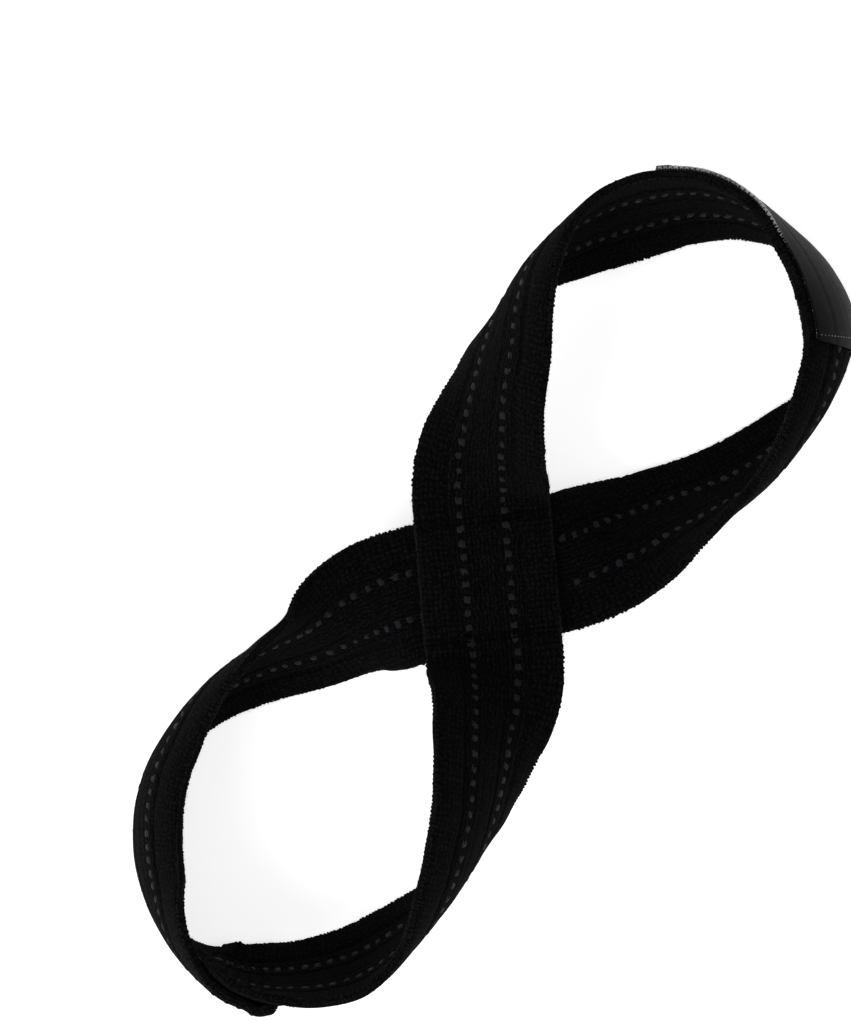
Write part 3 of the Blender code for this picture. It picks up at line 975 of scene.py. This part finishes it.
class STRAP_OT_label_border(bpy.types.Operator):
    """Sews the light border thread round the label"""
    bl_idname = "strap.label_border"
    bl_label = "Label border"

    def execute(self, context):
        settings = context.scene.strap_sewing
        draw = np.random.default_rng(31)
        distance, across, out, angle, length = [], [], [], [], []
        for step, place in enumerate(np.arange(0.0006, ROUTE.label_length, settings.border_pitch)):
            for edge, inwards in ((LABEL_HIGH, -1), (LABEL_LOW, 1)):
                distance.append(place)
                across.append(edge + inwards * BORDER_INSIDE / WEBBING_WIDTH)
                out.append(BORDER_OUT)
                angle.append(inwards * (1.25 if step % 2 else 1.9))
                length.append(draw.normal(BORDER_STITCH_LENGTH, 0.00006))
        for place in (HEM_LINE, ROUTE.label_length - HEM_LINE):
            for share in np.arange(LABEL_LOW + 0.03, LABEL_HIGH - 0.02, HEM_STITCH_PITCH / WEBBING_WIDTH):
                distance.append(place)
                across.append(share)
                out.append(HEM_STITCH_OUT)
                angle.append(draw.normal(math.pi / 2, 0.15))
                length.append(HEM_STITCH_LENGTH)
        distance, across, out, angle, length = arrays(distance, across, out, angle, length)
        # Towards the far end the border shows broader, and its stitches lean along the edge
        far = ease(np.clip((distance / ROUTE.label_length - 0.42) / 0.2, 0, 1))
        bulk = 0.55 + 1.1 * far
        angle = np.where(far > 0.5, 0.5 * np.sign(np.cos(angle)), angle)
        distance, across, out = label_spot(distance, across, out)
        thick = draw.normal(BORDER_STITCH_THICKNESS, 0.00002, len(distance)) * bulk
        angle = angle + draw.normal(0, 0.08, len(distance))
        axes = turned_about_out(ROUTE.axes(distance, across, out), angle)
        border = copies("label_border_stitches", yarn_bead(8, 8, 1.6), ROUTE.place(distance, across, out),
                        axes, np.column_stack([length * bulk, thick, thick]))
        thread = yarn_material("border_thread", settings.border_colour,
                               roughness=0.5, twist=1800.0, sheen=0.1, specular=0.4)
        finish_piece(border, thread)
        return {"FINISHED"}


class STRAP_OT_stage(bpy.types.Operator):
    """Lays the floor, hangs the lights and sets the camera over the strap"""
    bl_idname = "strap.stage"
    bl_label = "Stage"

    def execute(self, context):
        settings = context.scene.strap_stage
        bpy.ops.object.select_all(action="DESELECT")
        bpy.ops.mesh.primitive_plane_add(size=30.0, location=(0, 0, -0.0001))
        floor = context.object
        floor.name = "floor"
        material, tree, shader = node_tree("floor_paint")
        shader.inputs["Base Color"].default_value = (*settings.floor_colour, 1.0)
        shader.inputs["Roughness"].default_value = 0.9
        shader.inputs["Emission Color"].default_value = (1.0, 1.0, 1.0, 1.0)
        shader.inputs["Emission Strength"].default_value = FLOOR_GLOW
        floor.data.materials.append(material)
        world = context.scene.world or bpy.data.worlds.new("studio")
        context.scene.world = world
        world.use_nodes = True
        sky = world.node_tree.nodes["Background"]
        sky.inputs["Color"].default_value = (1.0, 1.0, 1.0, 1.0)
        sky.inputs["Strength"].default_value = SKY_STRENGTH
        for name, place, size, power in LIGHTS:
            bpy.ops.object.light_add(type="AREA", location=place)
            light = context.object
            light.name = name
            light.data.size = size
            light.data.energy = power
            light.rotation_euler = (-light.location).to_track_quat("-Z", "Y").to_euler()
        turn = math.radians(PICTURE_TURN)
        right = np.array([math.cos(turn), math.sin(turn)])
        up = np.array([-math.sin(turn), math.cos(turn)])
        centre = (SETTLED_BY[:2] - PICTURE_TRIM
                  + right * (PICTURE_MIDDLE[0] - PICTURE_CROSSING[0]) / PICTURE_SCALE
                  + up * (PICTURE_CROSSING[1] - PICTURE_MIDDLE[1]) / PICTURE_SCALE)
        bpy.ops.object.camera_add(location=(centre[0], centre[1], settings.camera_distance),
                                  rotation=(0.0, 0.0, turn))
        camera = context.object
        camera.name = "camera"
        camera.data.sensor_width = SENSOR_MM
        above_crossing = settings.camera_distance - CROSSING_HEIGHT
        camera.data.lens = SENSOR_MM * PICTURE_SCALE / PICTURE_TALL * above_crossing
        camera.data.clip_start, camera.data.clip_end = 0.1, 50.0
        context.scene.camera = camera
        context.scene.view_settings.view_transform = "Standard"
        return {"FINISHED"}


class STRAP_PT_panel(bpy.types.Panel):
    """Lists the strap's settings and steps"""
    bl_idname = "STRAP_PT_panel"
    bl_label = "Figure-eight strap"
    bl_space_type = "VIEW_3D"
    bl_region_type = "UI"
    bl_category = "Strap"

    def draw(self, context):
        for group in (context.scene.strap_webbing, context.scene.strap_sewing, context.scene.strap_stage):
            box = self.layout.box()
            for name in group.__annotations__:
                box.prop(group, name)
        for step in STEPS:
            self.layout.operator(step.bl_idname)


STEPS = (STRAP_OT_webbing, STRAP_OT_tracers, STRAP_OT_selvedge_turns, STRAP_OT_seams, STRAP_OT_fuzz,
         STRAP_OT_end_threads, STRAP_OT_label, STRAP_OT_label_border, STRAP_OT_stage)
CLASSES = (StrapWebbingSettings, StrapSewingSettings, StageSettings, *STEPS, STRAP_PT_panel)


def register():
    for item in CLASSES:
        bpy.utils.register_class(item)
    bpy.types.Scene.strap_webbing = PointerProperty(type=StrapWebbingSettings)
    bpy.types.Scene.strap_sewing = PointerProperty(type=StrapSewingSettings)
    bpy.types.Scene.strap_stage = PointerProperty(type=StageSettings)


def unregister():
    del bpy.types.Scene.strap_stage
    del bpy.types.Scene.strap_sewing
    del bpy.types.Scene.strap_webbing
    for item in reversed(CLASSES):
        bpy.utils.unregister_class(item)


def main():
    register()
    bpy.ops.strap.webbing()
    bpy.ops.strap.tracers()
    bpy.ops.strap.selvedge_turns()
    bpy.ops.strap.seams()
    bpy.ops.strap.fuzz()
    bpy.ops.strap.end_threads()
    bpy.ops.strap.label()
    bpy.ops.strap.label_border()
    bpy.ops.strap.stage()


if __name__ == "__main__":
    main()
